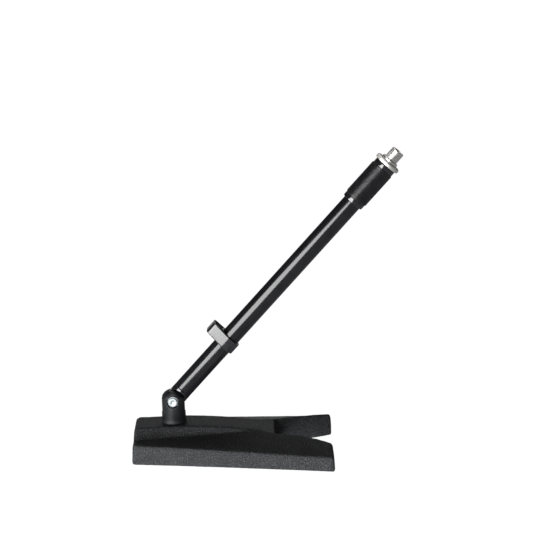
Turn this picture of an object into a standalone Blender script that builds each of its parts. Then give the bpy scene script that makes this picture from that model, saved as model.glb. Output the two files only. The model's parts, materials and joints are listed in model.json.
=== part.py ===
"""Low boom microphone stand: a heavy cast base with two splayed legs, a clevis post and a telescopic arm.

All sizes below are millimetres. Meshes are written in metres.
Every solid of the arm is modelled with its length along local +Z, measured from the tilt pivot, and is
parented to an empty that stands on the pivot. The post's solids hang on a second empty at the pivot,
leaning back so that the post stands square on the arched spine of the casting.
The world origin is the middle of the footprint on the floor, +X points to the arm's tip, +Z is up.
"""

import math

import bmesh
import bpy
from mathutils import Matrix, Vector

# ---------------------------------------------------------------- driving dimensions
MM = 0.001
CLEARANCE = 0.3                 # gap between any two pieces that meet
ROUND = 48                      # sides of a large turned piece
ROUND_SMALL = 24                # sides of a small turned piece

ARM_ELEVATION = 48.74           # degrees above the floor at rest
POST_LEAN = -2.2                # degrees, the top of the post leans to the rear
PIVOT_HEIGHT = 60.7

TUBE_RADIUS = 11.1              # 7/8 inch outer tube
TUBE_WALL = 1.5
INNER_TUBE_RADIUS = 7.94        # 5/8 inch inner tube, threaded at its end
INNER_TUBE_WALL = 1.5
TIP = 391.95                    # pivot to the end of the threaded spigot, arm retracted
TIP_CHAMFER = 0.9

BASE_REAR = -45.0               # rear edge of the casting, from the pivot
BASE_NOTCH = 118.0              # rear wall of the notch between the legs
BASE_TIP = 186.0                # inner corner of a leg's end
BASE_BOTTOM = 0.8               # the rubber feet lift the casting by this much
OUTER_HALF_WIDTH = 62.2         # half width of the casting at the pivot
OUTER_SPLAY = 0.092             # the outline widens by this much per millimetre
OUTER_CURVE = 0.00012           # and bows outwards a little towards the legs
PLATEAU_HALF_WIDTH = 21.4
SPINE_CREST = (20.0, 35.45)     # highest point of the arched spine
SPINE_RADIUS_REAR = 560.0
SPINE_RADIUS_FRONT = 640.0
RIM = (21.6, -0.030)            # rim over the drafted side: height at the pivot, rise per X
LEG_TWIST = (0.233, 0.0023)     # fall of a leg's top towards its rim: at the notch, and its rise per X
SLOPE_FOOT = (30.31, -0.0972, 24.11, 0.0611)  # foot of the slope: half width, height, each with its rise
DRAFT = math.tan(math.radians(4.0))
SIDE_DRAFT = math.tan(math.radians(8.0))
LEG_END_SKEW = -0.03            # a leg's end runs forward by this much per millimetre outwards
REAR_LEAN = 0.02                # the rear wall is nearly upright

POST_RADIUS = 13.9
POST_FLARE = 1.0
POST_SEAT = -25.4               # post foot, below the pivot along the post
SLOT_HALF_WIDTH = 4.4
TONGUE_HALF_WIDTH = 2.9
EYE_RADIUS = 10.9
COPE_RADIUS = 15.0              # the knuckle's shoulder is cut clear of the post's ears
PIVOT_BOLT_RADIUS = 3.0         # M6
BASE_BOLT_RADIUS = 5.0          # M10

FOOT_RADIUS = 9.0
FOOT_PLACES = {
    "rubber_foot_rear_left": (-27.0, 36.0),
    "rubber_foot_rear_right": (-27.0, -36.0),
    "rubber_foot_front_left": (162.0, 61.0),
    "rubber_foot_front_right": (162.0, -61.0),
}

KNUCKLE_RING_END = 17.6
TUBE_START = 17.9
TUBE_END = 338.0
CLIP_START = 88.2
CLIP_END = 102.1
CLIP_RING_RADIUS = 13.8         # the clip tapers from this radius round the tube
CLIP_CORNER_RADIUS = 5.0        # to a squarer end with this radius at its two corners
CLIP_CORNER = (21.4, 5.0)       # the corners' centres: out from the tube's axis, and aside
CLIP_WALL = 2.2
CLIP_LEAN = 0.065               # the loop leans towards the arm's tip
CLUTCH_START = 313.4
GRIP_START = 319.2
GRIP_END = 364.7
CLUTCH_END = 370.7
INNER_TUBE_END = 370.8
PLUG_START = 350.0              # the spigot's shank is pressed into the inner tube
DISC_START = 371.15
DISC_END = 375.6
COLLAR_END = 378.9

# ---------------------------------------------------------------- derived places
TUBE_BORE = TUBE_RADIUS - TUBE_WALL
INNER_TUBE_BORE = INNER_TUBE_RADIUS - INNER_TUBE_WALL
ARM_PITCH = math.radians(90.0 - ARM_ELEVATION)
FRONT_REACH = (TIP - TIP_CHAMFER) * math.sin(ARM_PITCH) + INNER_TUBE_RADIUS * math.cos(ARM_PITCH)
PIVOT_X = -(FRONT_REACH + BASE_REAR) / 2.0

MATERIALS = {
    "textured_paint": ((0.055, 0.058, 0.063), 0.75, 0.0),
    "satin_black_metal": ((0.020, 0.021, 0.024), 0.35, 0.3),
    "gloss_black_tube": ((0.012, 0.012, 0.014), 0.18, 0.2),
    "black_nylon": ((0.030, 0.030, 0.033), 0.40, 0.0),
    "knurled_black": ((0.025, 0.025, 0.028), 0.45, 0.3),
    "nickel": ((0.72, 0.70, 0.67), 0.18, 1.0),
    "zinc": ((0.62, 0.66, 0.70), 0.30, 1.0),
    "rubber": ((0.020, 0.020, 0.020), 0.90, 0.0),
    "natural_nylon": ((0.70, 0.68, 0.62), 0.50, 0.0),
}


# ---------------------------------------------------------------- scene helpers
def clear_scene():
    for item in list(bpy.data.objects):
        bpy.data.objects.remove(item, do_unlink=True)


def material(name):
    found = bpy.data.materials.get(name)
    if found:
        return found
    colour, roughness, metallic = MATERIALS[name]
    made = bpy.data.materials.new(name)
    made.use_nodes = True
    shader = made.node_tree.nodes["Principled BSDF"]
    shader.inputs["Base Color"].default_value = (*colour, 1.0)
    shader.inputs["Roughness"].default_value = roughness
    shader.inputs["Metallic"].default_value = metallic
    return made


def frame_empty(name, pitch):
    """An empty on the tilt pivot, turned about Y by pitch radians."""
    empty = bpy.data.objects.new(name, None)
    bpy.context.scene.collection.objects.link(empty)
    empty.location = (PIVOT_X * MM, 0.0, PIVOT_HEIGHT * MM)
    empty.rotation_euler = (0.0, pitch, 0.0)
    return empty


def add_piece(name, mesh_builder, material_name, parent=None, place=None):
    """Turn a bmesh in millimetres into a named object in metres, moved by place and hung on parent."""
    bmesh.ops.recalc_face_normals(mesh_builder, faces=mesh_builder.faces)
    if place is not None:
        mesh_builder.transform(place)
    mesh_builder.transform(Matrix.Scale(MM, 4))
    mesh = bpy.data.meshes.new(name)
    mesh_builder.to_mesh(mesh)
    mesh_builder.free()
    piece = bpy.data.objects.new(name, mesh)
    bpy.context.scene.collection.objects.link(piece)
    if parent is not None:
        piece.parent = parent
    if material_name is None:
        piece.display_type = "WIRE"
        piece.hide_render = True
        return piece
    mesh.materials.append(material(material_name))
    mesh.shade_smooth()
    mesh.set_sharp_from_angle(angle=math.radians(30.0))
    return piece


def combine(piece, other, operation):
    """Union or difference of a piece with a cutter that lives in the same parent frame."""
    change = piece.modifiers.new(other.name, "BOOLEAN")
    change.operation = operation
    change.solver = "EXACT"
    change.object = other


# ---------------------------------------------------------------- solid builders
def turned(profile, sides=ROUND):
    """Solid of revolution about Z. The profile is a closed loop of (radius, height) points."""
    builder = bmesh.new()
    rings = []
    for radius, height in profile:
        if radius < 1e-6:
            rings.append([builder.verts.new((0.0, 0.0, height))])
            continue
        ring = []
        for index in range(sides):
            angle = 2.0 * math.pi * index / sides
            ring.append(builder.verts.new((radius * math.cos(angle), radius * math.sin(angle), height)))
        rings.append(ring)
    for here, there in zip(rings, rings[1:] + rings[:1]):
        if len(here) == 1 and len(there) == 1:
            continue
        for index in range(sides):
            after = (index + 1) % sides
            corners = [here[index % len(here)], there[index % len(there)]]
            corners += [there[after % len(there)], here[after % len(here)]]
            builder.faces.new(list(dict.fromkeys(corners)))
    return builder


def ring_profile(inner, outer, start, end):
    return [(inner, start), (outer, start), (outer, end), (inner, end)]


def rod_profile(radius, start, end, chamfer=0.0):
    """Solid rod; a chamfer breaks its far edge."""
    rim = [(radius, end)]
    if chamfer > 0.0:
        rim = [(radius, end - chamfer), (radius - chamfer, end)]
    return [(0.0, start), (radius, start)] + rim + [(0.0, end)]


def prism(outline, low, high):
    """Extrude a closed outline of (x, y) points from low to high along Z."""
    builder = bmesh.new()
    bottom = [builder.verts.new((x, y, low)) for x, y in outline]
    face = builder.faces.new(bottom)
    lifted = bmesh.ops.extrude_face_region(builder, geom=[face])
    top = [item for item in lifted["geom"] if isinstance(item, bmesh.types.BMVert)]
    bmesh.ops.translate(builder, vec=(0.0, 0.0, high - low), verts=top)
    return builder


def arc(centre, radius, start, end, steps):
    """Points on an arc, angles in degrees, both ends included."""
    points = []
    for step in range(steps + 1):
        angle = math.radians(start + (end - start) * step / steps)
        points.append((centre[0] + radius * math.cos(angle), centre[1] + radius * math.sin(angle)))
    return points


def hexagon(across_flats):
    return arc((0.0, 0.0), across_flats / math.sqrt(3.0), 0.0, 300.0, 5)


def block(low, high):
    outline = [(low[0], low[1]), (high[0], low[1]), (high[0], high[1]), (low[0], high[1])]
    return prism(outline, low[2], high[2])


# A piece built along Z is laid along +Y by this turn, its start towards -Y.
ALONG_Y = Matrix.Rotation(math.radians(-90.0), 4, "X")


# ---------------------------------------------------------------- casting
def spine_height(x):
    """Top of the arched spine: two arcs that meet level at the crest."""
    crest_x, crest_z = SPINE_CREST
    radius = SPINE_RADIUS_REAR if x < crest_x else SPINE_RADIUS_FRONT
    return crest_z - (radius - math.sqrt(radius ** 2 - (x - crest_x) ** 2))


def outer_edge(x):
    """Half width at the floor, then half width and height of the rim where the drafted side ends."""
    floor_y = OUTER_HALF_WIDTH + OUTER_SPLAY * x + OUTER_CURVE * x ** 2
    height = RIM[0] + RIM[1] * x
    return floor_y, floor_y - SIDE_DRAFT * height, height


def leg_height(x, y):
    """Top of a leg: a ruled surface that falls towards the rim, more steeply towards the leg's end."""
    _, rim_y, rim_z = outer_edge(x)
    fall = LEG_TWIST[0] + LEG_TWIST[1] * (x - BASE_NOTCH)
    return rim_z + fall * (rim_y - y)


def inner_edge(x):
    """Half width of the notch at the top of a leg, a gentle curve from the notch corner to the leg end."""
    ahead = x - BASE_NOTCH
    return 27.0 + 0.20 * ahead + 0.0031 * ahead ** 2


def body_section(x, notch_side):
    """Half section of the body: spine middle, plateau edge, slope foot, outer edge, then the floor lanes."""
    share = max(0.0, (x - 95.0) / (BASE_NOTCH - 95.0))
    plateau = PLATEAU_HALF_WIDTH + 2.4 * share ** 2
    slope_foot = SLOPE_FOOT[0] + SLOPE_FOOT[1] * x + 8.2 * share ** 2
    foot_z = SLOPE_FOOT[2] + SLOPE_FOOT[3] * x - 2.7 * share ** 2
    floor_y, top_y, top_z = outer_edge(x)
    inner_floor = inner_edge(BASE_NOTCH) - DRAFT * leg_height(BASE_NOTCH, inner_edge(BASE_NOTCH))
    floor_lane = inner_floor if notch_side else slope_foot
    lean = REAR_LEAN if x <= BASE_REAR else 0.0
    spine = spine_height(x)
    return [
        Vector((x + lean * spine, 0.0, spine)),
        Vector((x + lean * spine, plateau, spine)),
        Vector((x + lean * foot_z, slope_foot, foot_z)),
        Vector((x + lean * top_z, top_y, top_z)),
        Vector((x, floor_y, BASE_BOTTOM)),
        Vector((x, floor_lane, BASE_BOTTOM)),
        Vector((x, 0.0, BASE_BOTTOM)),
    ]


def leg_section(x):
    """Section of a leg: inner top, outer top, outer floor, inner floor; the end is skewed and drafted."""
    inner_y = inner_edge(x)
    inner_z = leg_height(x, inner_y)
    floor_y, top_y, top_z = outer_edge(x)
    share = (x - BASE_NOTCH) / (BASE_TIP - BASE_NOTCH)
    skew = LEG_END_SKEW * share
    back = DRAFT * share
    return [
        Vector((x - back * inner_z, inner_y, inner_z)),
        Vector((x - back * top_z - skew * (top_y - inner_y), top_y, top_z)),
        Vector((x - skew * (floor_y - inner_y), floor_y, BASE_BOTTOM)),
        Vector((x, inner_y - DRAFT * inner_z, BASE_BOTTOM)),
    ]


def casting_half():
    """Half of the casting with y above zero, closed except along the middle plane."""
    builder = bmesh.new()
    crease = builder.edges.layers.float.new("bevel_weight_edge")

    stations = [BASE_REAR, -25.0, 0.0, 20.0, 45.0, 70.0, 95.0, 107.0, BASE_NOTCH]
    body = []
    for x in stations:
        section = body_section(x, x == BASE_NOTCH)
        body.append([builder.verts.new(point) for point in section])
    for here, there in zip(body, body[1:]):
        for lane in range(len(here) - 1):
            builder.faces.new((here[lane], there[lane], there[lane + 1], here[lane + 1]))
    builder.faces.new(body[0])
    notch = body[-1]
    builder.faces.new((notch[0], notch[1], notch[2], notch[5], notch[6]))

    legs = [[notch[2], notch[3], notch[4], notch[5]]]
    for x in (134.0, 150.0, 168.0, BASE_TIP):
        legs.append([builder.verts.new(point) for point in leg_section(x)])
    for here, there in zip(legs, legs[1:]):
        for lane in range(4):
            after = (lane + 1) % 4
            builder.faces.new((here[lane], there[lane], there[after], here[after]))
    builder.faces.new(legs[-1])
    bmesh.ops.recalc_face_normals(builder, faces=builder.faces)

    def weigh(first, second, weight):
        edge = builder.edges.get((first, second))
        edge[crease] = weight

    weigh(body[0][3], body[0][4], 1.0)
    weigh(notch[2], notch[5], 1.0)
    weigh(legs[-1][1], legs[-1][2], 0.8)
    weigh(legs[-1][0], legs[-1][3], 0.6)
    for here, there in zip(body, body[1:]):
        weigh(here[3], there[3], 0.3)
    for here, there in zip(legs, legs[1:]):
        weigh(here[1], there[1], 0.3)
    weigh(legs[-1][0], legs[-1][1], 0.3)
    for lane in range(3):
        weigh(body[0][lane], body[0][lane + 1], 0.3)
    return builder


def make_casting(post_frame):
    casting = add_piece("base_casting", casting_half(), "textured_paint")
    casting.location = (PIVOT_X * MM, 0.0, 0.0)
    mirror = casting.modifiers.new("mirror", "MIRROR")
    mirror.use_axis = (False, True, False)
    mirror.merge_threshold = 0.00001
    rounding = casting.modifiers.new("rounding", "BEVEL")
    rounding.limit_method = "WEIGHT"
    rounding.width = 7.0 * MM
    rounding.segments = 3

    seat_radius = POST_RADIUS + POST_FLARE + 2 * CLEARANCE
    seat = turned(rod_profile(seat_radius, POST_SEAT - CLEARANCE, POST_SEAT + 8.0), ROUND_SMALL * 2)
    shaft_hole = turned(rod_profile(BASE_BOLT_RADIUS + 0.5, -45.0, -20.0), ROUND_SMALL)
    head_hole = turned(rod_profile(10.5, -75.0, POST_SEAT - 15.0), ROUND_SMALL)
    dowel_hole = turned(rod_profile(2.3, POST_SEAT - 5.3, -20.0), ROUND_SMALL)
    aside = Matrix.Translation((9.0, 0.0, 0.0))
    combine(casting, add_piece("cut_seat", seat, None, post_frame), "DIFFERENCE")
    combine(casting, add_piece("cut_shaft", shaft_hole, None, post_frame), "DIFFERENCE")
    combine(casting, add_piece("cut_head", head_hole, None, post_frame), "DIFFERENCE")
    combine(casting, add_piece("cut_dowel", dowel_hole, None, post_frame, aside), "DIFFERENCE")

    for name, (x, y) in FOOT_PLACES.items():
        place = Matrix.Translation((PIVOT_X + x, y, 0.0))
        pocket = turned(rod_profile(FOOT_RADIUS + CLEARANCE, -2.0, 3.3), ROUND_SMALL)
        combine(casting, add_piece("cut_" + name, pocket, None, None, place), "DIFFERENCE")
        sole = [(0.0, 0.0), (FOOT_RADIUS - 0.8, 0.0), (FOOT_RADIUS, 0.8), (FOOT_RADIUS, 3.0), (0.0, 3.0)]
        add_piece(name, turned(sole, ROUND_SMALL), "rubber", None, place)


# ---------------------------------------------------------------- post and its fasteners
def post_profile():
    """Flared foot, straight shank and a domed top."""
    dome_radius = 15.3
    dome_centre = -1.6
    foot = POST_RADIUS + POST_FLARE
    points = [(0.0, POST_SEAT), (foot, POST_SEAT), (foot, POST_SEAT + 0.6)]
    for step in range(1, 5):
        angle = math.radians(90.0 * step / 4)
        flare = POST_FLARE * (1.0 - math.sin(angle))
        points.append((POST_RADIUS + flare, POST_SEAT + 0.6 + 4.0 * (1.0 - math.cos(angle))))
    start = math.acos(POST_RADIUS / dome_radius)
    for step in range(7):
        angle = start + (math.pi / 2 - start) * step / 6
        points.append((dome_radius * math.cos(angle), dome_centre + dome_radius * math.sin(angle)))
    points[-1] = (0.0, dome_centre + dome_radius)
    return points


def make_post(frame):
    post = add_piece("pivot_post", turned(post_profile()), "satin_black_metal", frame)
    slot = block((-20.0, -SLOT_HALF_WIDTH, -13.4), (20.0, SLOT_HALF_WIDTH, 20.0))
    bolt_hole = turned(rod_profile(PIVOT_BOLT_RADIUS + CLEARANCE, -20.0, 20.0), ROUND_SMALL)
    head_recess = turned(rod_profile(7.0, -20.0, -7.4), ROUND_SMALL * 2)
    nut_recess = prism(hexagon(10.0 + 4 * CLEARANCE), 7.4, 20.0)
    tapped_hole = turned(rod_profile(BASE_BOLT_RADIUS + CLEARANCE, -30.0, -16.5), ROUND_SMALL)
    dowel_hole = turned(rod_profile(2.3, -30.0, -20.7), ROUND_SMALL)
    combine(post, add_piece("cut_slot", slot, None, frame), "DIFFERENCE")
    combine(post, add_piece("cut_bolt", bolt_hole, None, frame, ALONG_Y), "DIFFERENCE")
    combine(post, add_piece("cut_recess", head_recess, None, frame, ALONG_Y), "DIFFERENCE")
    combine(post, add_piece("cut_nut", nut_recess, None, frame, ALONG_Y), "DIFFERENCE")
    combine(post, add_piece("cut_tapped", tapped_hole, None, frame), "DIFFERENCE")
    combine(post, add_piece("cut_post_dowel", dowel_hole, None, frame, Matrix.Translation((9.0, 0.0, 0.0))),
            "DIFFERENCE")


def socket_screw(name, radius, head_radius, head_low, head_high, end, key, material_name, frame, place):
    """Screw along Z with its head below its shank and a hex socket in the head's outer face."""
    profile = [(0.0, head_low), (head_radius - 0.4, head_low), (head_radius, head_low + 0.4)]
    profile += [(head_radius, head_high), (radius, head_high), (radius, end - 0.6), (radius - 0.6, end)]
    profile += [(0.0, end)]
    screw = add_piece(name, turned(profile, ROUND_SMALL), material_name, frame, place)
    depth = 0.6 * (head_high - head_low)
    socket = prism(hexagon(key), head_low - 1.0, head_low + depth)
    combine(screw, add_piece("cut_socket_" + name, socket, None, frame, place), "DIFFERENCE")


def make_fasteners(frame):
    """Pivot bolt stack across the ears, and the bolt stack that holds the post from below."""
    socket_screw("pivot_bolt", PIVOT_BOLT_RADIUS, 5.4, -12.7, -8.8, 12.9, 4.0, "zinc", frame, ALONG_Y)
    washer = turned(ring_profile(PIVOT_BOLT_RADIUS + CLEARANCE, 6.3, -8.5, -7.7), ROUND_SMALL)
    add_piece("pivot_washer", washer, "zinc", frame, ALONG_Y)
    for name, side in (("friction_washer_right", -1.0), ("friction_washer_left", 1.0)):
        low, high = sorted((side * 3.2, side * 4.1))
        disc = turned(ring_profile(PIVOT_BOLT_RADIUS + CLEARANCE, 9.0, low, high), ROUND_SMALL)
        add_piece(name, disc, "natural_nylon", frame, ALONG_Y)
    nut = add_piece("pivot_nut", prism(hexagon(10.0), 7.7, 12.5), "zinc", frame, ALONG_Y)
    nut_hole = turned(rod_profile(PIVOT_BOLT_RADIUS + CLEARANCE, 5.0, 15.0), ROUND_SMALL)
    combine(nut, add_piece("cut_nut_hole", nut_hole, None, frame, ALONG_Y), "DIFFERENCE")

    socket_screw("base_bolt", BASE_BOLT_RADIUS, 8.0, -53.5, -45.5, -17.0, 8.0, "zinc", frame, None)
    flat = turned(ring_profile(BASE_BOLT_RADIUS + CLEARANCE, 9.6, -42.9, -41.3), ROUND_SMALL)
    add_piece("base_flat_washer", flat, "zinc", frame)
    lock = add_piece("base_lock_washer",
                     turned(ring_profile(BASE_BOLT_RADIUS + CLEARANCE, 8.2, -45.2, -43.2), ROUND_SMALL),
                     "zinc", frame)
    split = block((5.0, -0.6, -46.0), (9.5, 0.6, -42.0))
    combine(lock, add_piece("cut_split", split, None, frame), "DIFFERENCE")
    dowel = turned(rod_profile(2.0, POST_SEAT - 5.0, -21.0, 0.4), ROUND_SMALL)
    add_piece("post_dowel", dowel, "zinc", frame, Matrix.Translation((9.0, 0.0, 0.0)))


# ---------------------------------------------------------------- arm
def make_knuckle(frame):
    """Round fitting in the tube's end, milled down to a tongue that turns between the post's ears."""
    fitting = [(0.0, 8.5), (TUBE_RADIUS, 8.5), (TUBE_RADIUS, KNUCKLE_RING_END)]
    fitting += [(TUBE_BORE - CLEARANCE, KNUCKLE_RING_END), (TUBE_BORE - CLEARANCE, 45.0)]
    fitting += [(TUBE_BORE - CLEARANCE - 1.0, 46.0), (0.0, 46.0)]
    knuckle = add_piece("knuckle", turned(fitting), "satin_black_metal", frame)
    cope = turned(rod_profile(COPE_RADIUS, -20.0, 20.0), ROUND)
    eye = arc((0.0, 0.0), EYE_RADIUS, 180.0, 0.0, 14)
    tongue_outline = eye + [(EYE_RADIUS, -16.0), (-EYE_RADIUS, -16.0)]
    tongue = prism(tongue_outline, -TONGUE_HALF_WIDTH, TONGUE_HALF_WIDTH)
    eye_hole = turned(rod_profile(PIVOT_BOLT_RADIUS + CLEARANCE, -20.0, 20.0), ROUND_SMALL)
    screw_hole = turned(rod_profile(2.8, 3.5, 15.0), ROUND_SMALL)
    screw_place = Matrix.Translation((0.0, 0.0, 32.0)) @ ALONG_Y
    combine(knuckle, add_piece("cut_cope", cope, None, frame, ALONG_Y), "DIFFERENCE")
    combine(knuckle, add_piece("add_tongue", tongue, None, frame, ALONG_Y), "UNION")
    combine(knuckle, add_piece("cut_eye", eye_hole, None, frame, ALONG_Y), "DIFFERENCE")
    combine(knuckle, add_piece("cut_screw", screw_hole, None, frame, screw_place), "DIFFERENCE")

    screw = add_piece("knuckle_set_screw", turned(rod_profile(2.5, 4.0, 10.6, 0.3), ROUND_SMALL),
                      "zinc", frame, screw_place)
    socket = prism(hexagon(2.5), 8.0, 12.0)
    combine(screw, add_piece("cut_set_socket", socket, None, frame, screw_place), "DIFFERENCE")

    tube = add_piece("outer_tube", turned(ring_profile(TUBE_BORE, TUBE_RADIUS, TUBE_START, TUBE_END)),
                     "gloss_black_tube", frame)
    tube_hole = turned(rod_profile(2.8, 5.0, 15.0), ROUND_SMALL)
    combine(tube, add_piece("cut_tube_hole", tube_hole, None, frame, screw_place), "DIFFERENCE")


def clip_outline(ring_radius, corner_radius):
    """Outline round the tube and round the two corners of the cable loop, with straight tapering sides."""
    out, aside = CLIP_CORNER
    turn = math.asin((ring_radius - corner_radius) / math.hypot(out, aside)) - math.atan2(aside, out)
    taper = math.degrees(turn)
    outline = arc((-out, aside), corner_radius, 90.0 + taper, 180.0, 6)
    outline += arc((-out, -aside), corner_radius, 180.0, 270.0 - taper, 6)
    return outline + arc((0.0, 0.0), ring_radius, -90.0 - taper, 90.0 + taper, 18)


def make_clip(frame):
    """Moulded cable clip: a ring round the tube, and a cable loop with a mouth between two lips."""
    low, high = CLIP_START - 2.0, CLIP_END + 2.0
    lean = Matrix.Identity(4)
    lean[2][0] = -CLIP_LEAN
    outline = clip_outline(CLIP_RING_RADIUS, CLIP_CORNER_RADIUS)
    clip = add_piece("cable_clip", prism(outline, CLIP_START, CLIP_END), "black_nylon", frame, lean)
    ring = turned(rod_profile(TUBE_RADIUS + CLEARANCE, low, high))
    hollow = clip_outline(CLIP_RING_RADIUS - CLIP_WALL, CLIP_CORNER_RADIUS - CLIP_WALL)
    loop = add_piece("cut_loop", prism(hollow, low, high), None, frame)
    web = turned(rod_profile(TUBE_RADIUS + CLEARANCE + 2.0, low - 1.0, high + 1.0))
    combine(loop, add_piece("keep_web", web, None, frame), "DIFFERENCE")
    mouth = block((-32.0, -1.0, low), (-23.5, 4.5, high))
    combine(clip, add_piece("cut_ring", ring, None, frame), "DIFFERENCE")
    combine(clip, loop, "DIFFERENCE")
    combine(clip, add_piece("cut_mouth", mouth, None, frame), "DIFFERENCE")


def make_clutch(frame):
    """Clutch: a body fixed on the tube, a split collet, and a knurled nut with its cap."""
    body_bore = TUBE_RADIUS + CLEARANCE
    body = [(body_bore, CLUTCH_START), (12.8, CLUTCH_START), (13.3, CLUTCH_START + 0.5)]
    body += [(13.3, GRIP_START - CLEARANCE), (12.3, GRIP_START - CLEARANCE)]
    body += [(12.3, 343.0), (body_bore, 343.0)]
    add_piece("clutch_body", turned(body), "satin_black_metal", frame)

    collet_bore = INNER_TUBE_RADIUS + CLEARANCE
    collet_profile = [(collet_bore, 326.0), (TUBE_BORE - CLEARANCE, 326.0), (TUBE_BORE - CLEARANCE, 338.3)]
    collet_profile += [(11.1, 338.3), (11.1, 343.3), (12.2, 343.3), (12.2, 346.5), (10.2, 351.7)]
    collet_profile += [(collet_bore, 351.7)]
    collet = add_piece("clutch_collet", turned(collet_profile), "natural_nylon", frame)
    slit = block((6.0, -0.8, 320.0), (14.0, 0.8, 355.0))
    combine(collet, add_piece("cut_slit", slit, None, frame), "DIFFERENCE")

    grip = [(12.6, GRIP_START), (13.05, GRIP_START), (14.05, GRIP_START + 1.0), (14.05, GRIP_END - 1.0)]
    grip += [(13.05, GRIP_END), (12.6, GRIP_END)]
    add_piece("clutch_grip", turned(grip), "knurled_black", frame)

    cap = [(collet_bore, 352.0), (12.3, 352.0), (12.3, GRIP_END + CLEARANCE), (13.25, GRIP_END + CLEARANCE)]
    cap += [(13.25, CLUTCH_END - 0.5), (12.75, CLUTCH_END), (collet_bore, CLUTCH_END)]
    add_piece("clutch_cap", turned(cap), "satin_black_metal", frame)


def make_inner(frame):
    """Sliding inner tube with its guide bush, pressed-in threaded spigot, collar and locking disc."""
    tube = ring_profile(INNER_TUBE_BORE, INNER_TUBE_RADIUS, 56.0, INNER_TUBE_END)
    add_piece("inner_tube", turned(tube), "nickel", frame)
    shank = INNER_TUBE_BORE - CLEARANCE
    spigot_start = INNER_TUBE_END + CLEARANCE
    spigot = [(3.0, PLUG_START), (shank, PLUG_START), (shank, spigot_start)]
    spigot += [(INNER_TUBE_RADIUS, spigot_start)]
    spigot += [(INNER_TUBE_RADIUS, TIP - TIP_CHAMFER), (INNER_TUBE_RADIUS - TIP_CHAMFER, TIP)]
    spigot += [(INNER_TUBE_BORE, TIP), (INNER_TUBE_BORE, DISC_START + 1.5), (3.0, DISC_START + 1.5)]
    add_piece("threaded_spigot", turned(spigot), "nickel", frame)
    bore = INNER_TUBE_RADIUS + CLEARANCE
    bush = ring_profile(bore, TUBE_BORE - CLEARANCE, 58.0, 74.0)
    add_piece("guide_bush", turned(bush), "natural_nylon", frame)
    disc = [(bore, DISC_START), (15.65, DISC_START), (15.65, DISC_END - 1.2)]
    disc += [(14.6, DISC_END), (bore, DISC_END)]
    add_piece("locking_disc", turned(disc), "nickel", frame)
    collar = [(bore, DISC_END + CLEARANCE), (10.25, DISC_END + CLEARANCE), (10.25, COLLAR_END - 0.5)]
    collar += [(9.75, COLLAR_END), (bore, COLLAR_END)]
    add_piece("thread_collar", turned(collar), "nickel", frame)


def main():
    clear_scene()
    post_frame = frame_empty("post_frame", math.radians(POST_LEAN))
    arm_frame = frame_empty("arm_frame", ARM_PITCH)
    make_casting(post_frame)
    make_post(post_frame)
    make_fasteners(post_frame)
    make_knuckle(arm_frame)
    make_clip(arm_frame)
    make_clutch(arm_frame)
    make_inner(arm_frame)
    bpy.context.view_layer.update()


main()
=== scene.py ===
"""Looks of the low boom microphone stand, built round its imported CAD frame.

Every detailed piece is modelled in millimetres in one of two frames that stand on the tilt pivot: the arm's,
with +Z along the tube, and the post's. Its mesh is then moved to world metres. Lengths along the arm are read
from the CAD nodes, so each piece fits the node that it stands for.
"""

import json
import math

import bmesh
import bpy
from mathutils import Matrix, Vector, noise


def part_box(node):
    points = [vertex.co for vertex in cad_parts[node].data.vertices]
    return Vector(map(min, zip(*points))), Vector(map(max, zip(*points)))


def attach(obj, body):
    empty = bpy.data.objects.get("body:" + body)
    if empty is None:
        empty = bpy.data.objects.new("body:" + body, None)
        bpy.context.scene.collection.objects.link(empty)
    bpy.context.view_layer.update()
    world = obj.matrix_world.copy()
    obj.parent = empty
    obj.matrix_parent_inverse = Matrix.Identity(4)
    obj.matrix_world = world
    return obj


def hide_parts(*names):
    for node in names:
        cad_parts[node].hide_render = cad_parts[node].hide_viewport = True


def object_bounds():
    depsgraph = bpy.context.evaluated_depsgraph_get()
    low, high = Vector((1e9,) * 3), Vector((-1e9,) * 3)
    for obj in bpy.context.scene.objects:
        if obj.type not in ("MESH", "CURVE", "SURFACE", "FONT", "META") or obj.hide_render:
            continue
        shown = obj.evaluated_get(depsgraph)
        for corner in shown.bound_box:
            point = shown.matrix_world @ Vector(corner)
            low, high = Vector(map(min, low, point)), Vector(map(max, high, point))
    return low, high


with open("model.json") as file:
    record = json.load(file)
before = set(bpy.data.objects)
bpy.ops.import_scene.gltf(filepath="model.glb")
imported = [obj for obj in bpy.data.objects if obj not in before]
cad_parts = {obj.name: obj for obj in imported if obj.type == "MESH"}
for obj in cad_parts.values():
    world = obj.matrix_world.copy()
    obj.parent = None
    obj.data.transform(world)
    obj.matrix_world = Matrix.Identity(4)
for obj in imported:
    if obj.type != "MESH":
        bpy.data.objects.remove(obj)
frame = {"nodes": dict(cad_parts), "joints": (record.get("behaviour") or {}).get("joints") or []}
CAD_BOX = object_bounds()

# ---------------------------------------------------------------- places read from the frame
MM = 0.001
JOINTS = {joint["name"]: joint for joint in frame["joints"]}
PIVOT = Vector(JOINTS["arm_tilt"]["pos_m"])
ARM_AXIS = Vector(JOINTS["tube_slide"]["axis"]).normalized()
ARM_PITCH = math.atan2(ARM_AXIS.x, ARM_AXIS.z)
POST_PITCH = math.radians(-2.2)  # the post stands square on the arched spine


def on_pivot(pitch):
    """Millimetres in a frame on the tilt pivot, turned about Y by pitch, to world metres."""
    return Matrix.Translation(PIVOT) @ Matrix.Rotation(pitch, 4, "Y") @ Matrix.Scale(MM, 4)


ARM = on_pivot(ARM_PITCH)
POST = on_pivot(POST_PITCH)
WORLD = Matrix.Scale(MM, 4)
ALONG_Y = Matrix.Rotation(math.radians(-90.0), 4, "X")  # a piece built along Z, laid along +Y

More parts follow.
